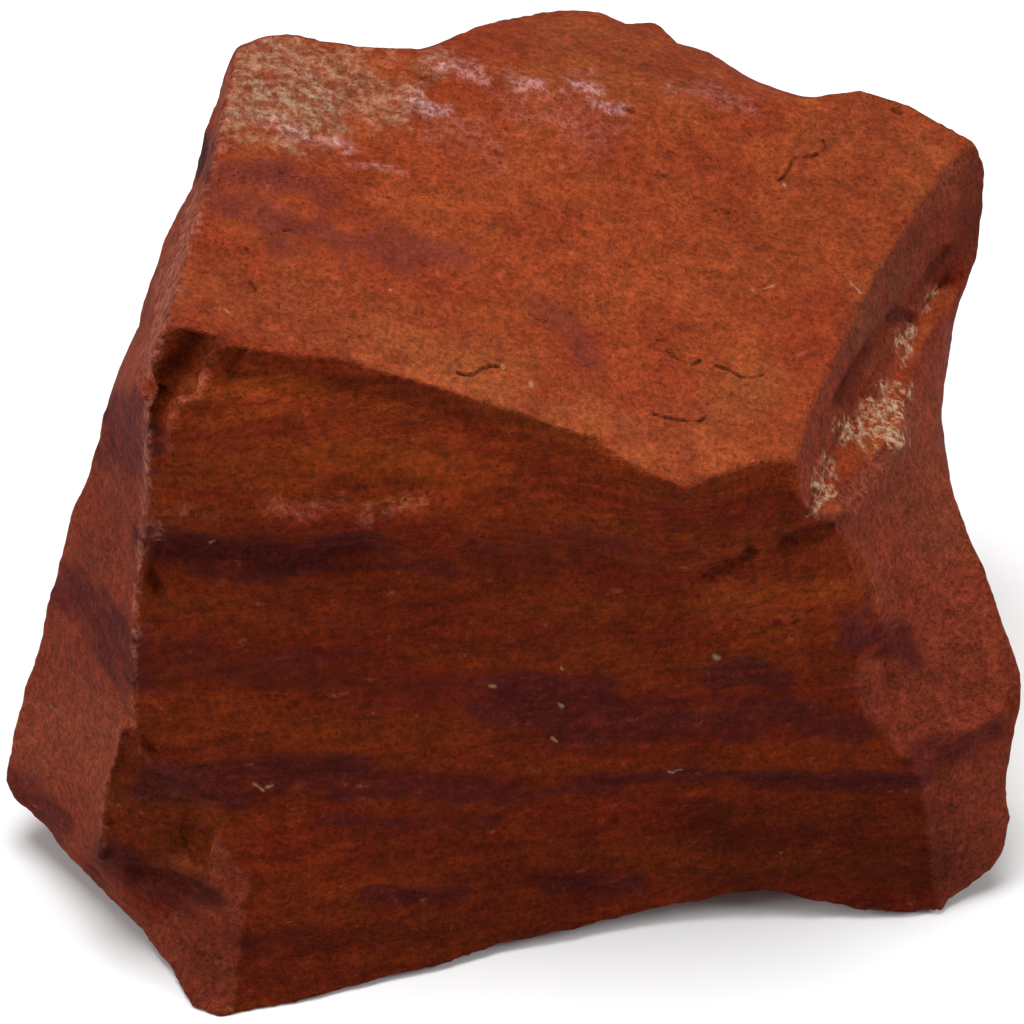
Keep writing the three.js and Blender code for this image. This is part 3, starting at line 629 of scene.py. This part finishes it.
def longest_edge(middles, points, triangles, edges):
    """How long each edge may be, from what is at its middle."""
    places = pixels(middles)
    away = normals_of(points, triangles)[edges].mean(axis=1)
    facing = np.einsum("ij,ij->i", away, EYE - middles) / STAND_OFF
    allowed = np.where(facing > FACING_AWAY, SEEN_EDGE, HIDDEN_EDGE)
    detail = np.maximum(marked(places, SLOTS, soft=1.0), marked(places, CRYSTALS, soft=0.4))
    for corners, *_ in FACETS:
        border = inside(places, corners)
        detail = np.maximum(detail, border * (1 - border))
    allowed = np.where((facing > 0) & (detail > DETAIL_SHARE), FINE_EDGE, allowed)
    detail = np.maximum(marked(places, CRACKS, soft=1.5), marked(places, SPECKS, soft=1.5))
    return np.where((facing > 0) & (detail > DETAIL_SHARE), CRACK_EDGE, allowed)


def hidden_bands(points, streaky):
    """How purple the sides out of the picture are, from 0 to 1."""
    level = points @ LAYER_UP / MM + 1.2 * wave(points, 11 * MM, seed=71)
    thickness = 0.9 + 0.8 * wave(points, 13 * MM, seed=73) + 0.5 * streaky
    bands = np.zeros(len(points))
    for height, half, strength in HIDDEN_BANDS:
        off = np.abs(level - height) / (half * np.maximum(thickness, 0.05))
        bands = np.maximum(bands, strength * (1 - smoothstep(off, low=0.4, high=1.5)))
    return bands


def mark_layers(mesh, points, away):
    """Stores on the mesh where each colour shows."""
    places = pixels(points)
    seen = seen_share(points, away)
    wander = np.stack([wave(points, 3 * MM, seed=61), wave(points, 3 * MM, seed=63)], axis=1)
    soft_places = places + SOFT_STRAY * wander
    crisp_places = places + CRISP_STRAY * wander
    top = looking(away, TOP_AWAY, low=0.75, high=0.9)
    side = 1 - looking(away, TOP_AWAY, low=0.7, high=0.9)
    tilted = along_layers(points)
    blotchy = 0.7 * roughness(points, 3.0 * MM, seed=81, octaves=3, fade=0.7)
    streaky = 0.8 * roughness(tilted, cell_of(9, 9, 0.9), seed=91, octaves=3, fade=0.6)
    spotty = 1.3 * roughness(points, 1.4 * MM, seed=101, octaves=3, fade=0.8)
    uneven = np.where(top > 0.5, blotchy, 0.5 * blotchy + streaky)

    def soft(marks, softness, stray):
        return seen * marked(soft_places, marks, softness, stray)

    def crisp(marks, softness, stray):
        return seen * marked(crisp_places, marks, softness, stray)

    on_top = roughness(points, 6 * MM, seed=111, octaves=4, fade=0.7)
    on_side = roughness(tilted, cell_of(14, 14, 2.2), seed=113, octaves=4, fade=0.7)
    masks = {
        "purple": soft(PURPLE, 0.6, uneven) + (1 - seen) * side * hidden_bands(points, streaky),
        "dust": soft(DUST, 0.8, uneven),
        "tan": top * soft(TAN, 0.8, 0.7 * spotty),
        "violet": soft(VIOLET, 0.8, spotty),
        "wear_and_highlight": crisp(PALE_WEAR_AND_HIGHLIGHTS, 0.8, 0.8 * spotty),
        "crust": crisp(CRYSTALS, 0.4, 0.8 * spotty),
        # Dark cracks, and painted shade in the slots.
        "crack_and_slot_shade": np.maximum(
            crisp(CRACKS, 0.8, 0.3 + 1.1 * spotty), 0.8 * soft(SLOTS, 0.9, 1.2 * spotty)
        ),
        "speck": crisp(SPECKS, 0.7, 0.2 + 1.2 * spotty),
        "top": top,
        "front": on_front(away),
        "broad": 0.5 + 0.5 * np.where(top > 0.5, on_top, on_side),
        "blotch": 0.5 + 0.5 * roughness(points, 1.7 * MM, seed=121, octaves=3, fade=0.8),
    }
    # Painted shade and painted light, with a few of the stone's own darker layers, scale the
    # brightness.
    shade_and_tone = np.ones(len(points))
    for line, width, factor in SHADE_AND_TONES:
        shade_and_tone *= 1 + (factor - 1) * soft([(line, width, 1.0)], 0.9, 0.5 * uneven)
    # Each facet takes the front's or the flank's colour, and its painted light and shade.
    for corners, part, factor in FACETS:
        within = seen * inside(crisp_places, corners)
        masks["front"] += within * (part - masks["front"])
        shade_and_tone *= 1 + (factor - 1) * within
    masks["shade_and_tone"] = shade_and_tone
    for name, values in masks.items():
        stored = mesh.attributes.new(name, "FLOAT", "POINT")
        stored.data.foreach_set("value", values.astype(np.float32))


def stone():
    """The fine stone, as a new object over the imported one."""
    points, triangles = welded(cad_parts["red_jasper"].data)
    flat = outward(points, triangles)
    facet_normals = flat / np.linalg.norm(flat, axis=1, keepdims=True)
    points, triangles, facets = halved(points, triangles, np.arange(len(triangles)))
    points = settled(points, triangles, facets, facet_normals)
    away = normals_of(points, triangles)
    edges, _ = edges_of(triangles)
    for _ in range(NORMAL_PASSES):
        away = away + averaged(away, edges)
        away /= np.linalg.norm(away, axis=1, keepdims=True)
    moved = points + away * relief(points, away)[:, None]
    moved = np.clip(moved, np.array(cad_low), np.array(cad_high))
    mesh = bpy.data.meshes.new("red_jasper_stone")
    mesh.from_pydata(moved.tolist(), [], triangles.tolist())
    mesh.polygons.foreach_set("use_smooth", np.ones(len(triangles), bool))
    mesh.update()
    mark_layers(mesh, points, away)
    piece = bpy.data.objects.new("red_jasper_stone", mesh)
    bpy.context.scene.collection.objects.link(piece)
    return piece


# Material
class Sheet:
    """Adds shader nodes to a material, one call for each."""

    def __init__(self, material):
        self.nodes = material.node_tree.nodes
        self.links = material.node_tree.links

    def add(self, kind, inputs=(), output=0, **settings):
        made = self.nodes.new(kind)
        for name, value in settings.items():
            setattr(made, name, value)
        for name, value in dict(inputs).items():
            if isinstance(value, bpy.types.NodeSocket):
                self.links.new(value, made.inputs[name])
            else:
                made.inputs[name].default_value = value
        return made.outputs[output]

    def mark(self, name):
        """What mark_layers stored under a name."""
        return self.add("ShaderNodeAttribute", output="Fac", attribute_name=name)

    def math(self, operation, a, b):
        return self.add("ShaderNodeMath", {0: a, 1: b}, operation=operation)

    def plus(self, a, b):
        return self.math("ADD", a, b)

    def times(self, a, b):
        return self.math("MULTIPLY", a, b)

    def swing(self, noise, strength):
        """How far the noise is from its middle, times a strength."""
        return self.times(self.math("SUBTRACT", noise, 0.5), strength)

    def ramp(self, value, low, high, out_low=0.0, out_high=1.0):
        """Turns low to high into out_low to out_high, smoothly."""
        span = {"From Min": low, "From Max": high, "To Min": out_low, "To Max": out_high}
        return self.add(
            "ShaderNodeMapRange", {"Value": value, **span}, interpolation_type="SMOOTHSTEP"
        )

    def blend(self, share, a, b, kind="MIX"):
        """Mixes colours a and b by a share. The node's colour sockets are 6 and 7, and 2 out."""
        mixed = {0: share, 6: a, 7: b}
        return self.add("ShaderNodeMix", mixed, output=2, data_type="RGBA", blend_type=kind)

    def noise(self, where, size, detail, rough=0.55):
        """Noise of a size in millimetres."""
        look = {"Scale": 1 / size, "Detail": detail, "Roughness": rough}
        return self.add("ShaderNodeTexNoise", {"Vector": where, **look})

    def stretched(self, where, size):
        """The place, with each axis divided by a size in millimetres."""
        return self.add("ShaderNodeVectorMath", {0: where, 1: size}, operation="DIVIDE")


def colour(red, green, blue):
    return (red, green, blue, 1.0)


# The top's lighter orange and the front's darker red-brown are partly the stone's own colours,
# partly painted light and painted shade.
RED = colour(0.190, 0.027, 0.0080)
ORANGE = colour(0.225, 0.040, 0.0105)
BROWN = colour(0.125, 0.0165, 0.0020)
DARK_RED = colour(0.112, 0.0105, 0.0022)
FLANK = colour(0.150, 0.024, 0.0100)
PURPLE_COLOUR = colour(0.058, 0.0072, 0.0068)
MAUVE = colour(0.122, 0.0215, 0.0150)
DUSTIER = colour(1.0, 1.28, 1.35)  # multiplies the colour under it
TAN_COLOUR = colour(0.290, 0.205, 0.130)
VIOLET_COLOUR = colour(0.480, 0.260, 0.260)
PALE_COLOUR = colour(0.320, 0.110, 0.070)
CREAM = colour(0.420, 0.290, 0.175)
BLACK = colour(0.012, 0.003, 0.002)

# The light-coloured marks: a name, its least and most share, and its colour. The last is pale wear
# and partly painted highlight.
LIGHT_MARKS = (
    ("tan", 0.14, 0.70, TAN_COLOUR),
    ("violet", 0.08, 0.55, VIOLET_COLOUR),
    ("wear_and_highlight", 0.05, 0.6, PALE_COLOUR),
)

# The sizes of the shader's noises, in millimetres. Streaks and bands run along the layers.
GRAIN_SIZE = 0.30
CLUMP_SIZE = 0.55
PIT_SIZE = 0.35
DOT_SIZE = 0.26
STREAK_SIZE = (1.3, 1.3, 0.45)
BAND_SIZE = (3.6, 3.6, 0.55)

# How strongly things show in the colour, and how high they stand in the bump.
PURPLE_BY_BANDS = 1.7
PURPLE_BY_GRAIN = 0.9
PURPLE_MOST = 0.92
LAYER_STRENGTH = 1.2
GLINT_STRENGTH = 0.4
DOT_STRENGTH = 0.35
CRACK_AND_SLOT_SHADE_STRENGTH = 0.68
SPECK_STRENGTH = 0.5
GRAIN_BUMP = 0.13
CLUMP_BUMP = 0.27
LAYER_BUMP = 0.2

STONE_ROUGHNESS = 0.8
STONE_SPECULAR = 0.05


def jasper():
    """The stone's material."""
    material = bpy.data.materials.new("jasper")
    material.use_nodes = True
    sheet = Sheet(material)
    shader = sheet.nodes["Principled BSDF"]
    place = sheet.add("ShaderNodeTexCoord", output="Object")
    in_millimetres = {0: place, 1: (1 / MM, 1 / MM, 1 / MM)}
    where = sheet.add("ShaderNodeVectorMath", in_millimetres, operation="MULTIPLY")
    dip = {"Vector": where, "Rotation": (0, math.atan(LAYER_DIP), 0)}
    dipped = sheet.add("ShaderNodeMapping", dip, vector_type="POINT")
    grain = sheet.noise(where, GRAIN_SIZE, detail=2.0, rough=0.85)
    clumps = sheet.noise(where, CLUMP_SIZE, detail=3.0, rough=0.75)
    streak = sheet.noise(sheet.stretched(dipped, STREAK_SIZE), 1.0, detail=3.0, rough=0.6)
    bands = sheet.noise(sheet.stretched(dipped, BAND_SIZE), 1.0, detail=4.0, rough=0.68)
    top, front, broad, blotch = (sheet.mark(name) for name in ("top", "front", "broad", "blotch"))

    # The top, the front and the flanks, chosen by which way the surface faces: partly the stone's
    # own colours, partly painted light on the top and painted shade on the front
    top_colour = sheet.blend(sheet.ramp(broad, 0.2, 0.8), RED, ORANGE)
    front_colour = sheet.blend(sheet.ramp(broad, 0.1, 0.9), DARK_RED, BROWN)
    base = sheet.blend(top, sheet.blend(front, FLANK, front_colour), top_colour)

    # The purple bands, the dust and the light marks
    ragged = sheet.blend(front, clumps, bands)
    share = sheet.plus(sheet.mark("purple"), sheet.swing(ragged, PURPLE_BY_BANDS))
    share = sheet.plus(share, sheet.swing(grain, PURPLE_BY_GRAIN))
    share = sheet.ramp(share, 0.2, 0.88, 0.0, PURPLE_MOST)
    share = sheet.times(share, sheet.ramp(streak, 0.3, 0.68, 1.0, 0.7))
    base = sheet.blend(share, base, sheet.blend(top, PURPLE_COLOUR, MAUVE))
    dusty = sheet.blend(1.0, base, DUSTIER, "MULTIPLY")
    base = sheet.blend(sheet.mark("dust"), base, dusty)
    for name, least, most, tint in LIGHT_MARKS:
        share = sheet.times(sheet.mark(name), sheet.ramp(clumps, 0.38, 0.64, least, most))
        base = sheet.blend(share, base, tint)

    # Lighter and darker places
    flank = sheet.math("SUBTRACT", sheet.math("SUBTRACT", 1.0, top), front)
    grainy = sheet.ramp(flank, 0.0, 1.0, 0.30, 0.36)
    layers = sheet.swing(bands, sheet.times(front, LAYER_STRENGTH))
    value = sheet.plus(1.0, sheet.times(sheet.ramp(grain, 0.3, 0.7, -0.9, 0.9), grainy))
    for factor in (
        sheet.ramp(clumps, 0.3, 0.7, 0.80, 1.20),
        # the painted shade and painted light from mark_layers
        sheet.mark("shade_and_tone"),
        sheet.ramp(blotch, 0.0, 1.0, 0.84, 1.16),
        sheet.ramp(streak, 0.3, 0.7, 0.94, 1.06),
        sheet.plus(layers, 1.0),
    ):
        value = sheet.times(value, factor)
    base = sheet.blend(1.0, base, value, "MULTIPLY")

    # Painted glints, dark dots, the crust of crystals, cracks with painted shade in the slots, and
    # specks
    glints = sheet.times(sheet.ramp(streak, 0.56, 0.74), sheet.ramp(clumps, 0.52, 0.70))
    base = sheet.blend(sheet.times(glints, GLINT_STRENGTH), base, PALE_COLOUR)
    dots = sheet.noise(where, DOT_SIZE, detail=0.0)
    base = sheet.blend(sheet.ramp(dots, 0.30, 0.20, 0.0, DOT_STRENGTH), base, BLACK)
    pits = sheet.ramp(sheet.noise(where, PIT_SIZE, detail=2.0), 0.38, 0.62)
    crust = sheet.blend(sheet.ramp(clumps, 0.4, 0.6), PALE_COLOUR, CREAM)
    base = sheet.blend(sheet.times(sheet.mark("crust"), pits), base, crust)
    base = sheet.blend(sheet.times(sheet.mark("crack_and_slot_shade"), CRACK_AND_SLOT_SHADE_STRENGTH), base, BLACK)
    base = sheet.blend(sheet.times(sheet.mark("speck"), SPECK_STRENGTH), base, CREAM)
    sheet.links.new(base, shader.inputs["Base Color"])

    height = sheet.plus(sheet.times(grain, GRAIN_BUMP), sheet.times(clumps, CLUMP_BUMP))
    height = sheet.plus(height, sheet.times(layers, LAYER_BUMP))
    bump = sheet.add("ShaderNodeBump", {"Height": height, "Distance": MM})
    sheet.links.new(bump, shader.inputs["Normal"])
    shader.inputs["Roughness"].default_value = STONE_ROUGHNESS
    shader.inputs["Specular IOR Level"].default_value = STONE_SPECULAR
    return material


# Light, floor and camera
LAMPS = (  # a name, a place, the side of its square and its power in watts
    ("overhead", (-0.05, 0.08, 0.6), 0.35, 4.0),
    ("left", (-0.5, -0.2, 0.3), 0.2, 1.5),
    ("right", (0.5, -0.1, 0.3), 0.2, 1.4),
)
LAMP_AIM = Vector((0, 0, 0.02))
SKY = colour(1, 1, 1)
SKY_STRENGTH = 0.22
FLOOR_HALF = 2  # metres
PAPER = colour(0.8, 0.8, 0.8)
PAPER_ROUGHNESS = 0.9
SENSOR = 36  # millimetres
NEAREST, FARTHEST = 0.01, 10  # metres that the camera sees from and to


def placed(name, data, place, forward):
    """A lamp or camera at a place, which looks along a direction."""
    made = bpy.data.objects.new(name, data)
    made.location = place
    made.rotation_mode = "QUATERNION"
    made.rotation_quaternion = forward.to_track_quat("-Z", "Y")
    bpy.context.scene.collection.objects.link(made)
    return made


def studio():
    """The lamps, the sky and the floor."""
    for name, place, side, power in LAMPS:
        light = bpy.data.lights.new(name, "AREA")
        light.shape = "SQUARE"
        light.size = side
        light.energy = power
        placed(name, light, place, LAMP_AIM - Vector(place))
    world = bpy.data.worlds.new("studio")
    world.use_nodes = True
    sky = world.node_tree.nodes["Background"]
    sky.inputs["Color"].default_value = SKY
    sky.inputs["Strength"].default_value = SKY_STRENGTH
    bpy.context.scene.world = world
    floor = bpy.data.meshes.new("floor")
    turns = ((-1, -1), (1, -1), (1, 1), (-1, 1))
    corners = [(FLOOR_HALF * x, FLOOR_HALF * y, 0) for x, y in turns]
    floor.from_pydata(corners, [], [(0, 1, 2, 3)])
    ground = bpy.data.objects.new("floor", floor)
    bpy.context.scene.collection.objects.link(ground)
    paper = bpy.data.materials.new("paper")
    paper.use_nodes = True
    shader = paper.node_tree.nodes["Principled BSDF"]
    shader.inputs["Base Color"].default_value = PAPER
    shader.inputs["Roughness"].default_value = PAPER_ROUGHNESS
    floor.materials.append(paper)
    bpy.context.scene.view_settings.view_transform = "Standard"


def camera():
    """The picture's camera."""
    data = bpy.data.cameras.new("camera")
    data.sensor_width = SENSOR
    data.lens = SENSOR / 2 / (PICTURE / 2 * PIXEL / STAND_OFF)
    data.clip_start = NEAREST
    data.clip_end = FARTHEST
    bpy.context.scene.camera = placed("camera", data, EYE, Vector(FORWARD))


piece = stone()
piece.data.materials.append(jasper())
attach(piece, "root")
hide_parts("red_jasper")
studio()
camera()
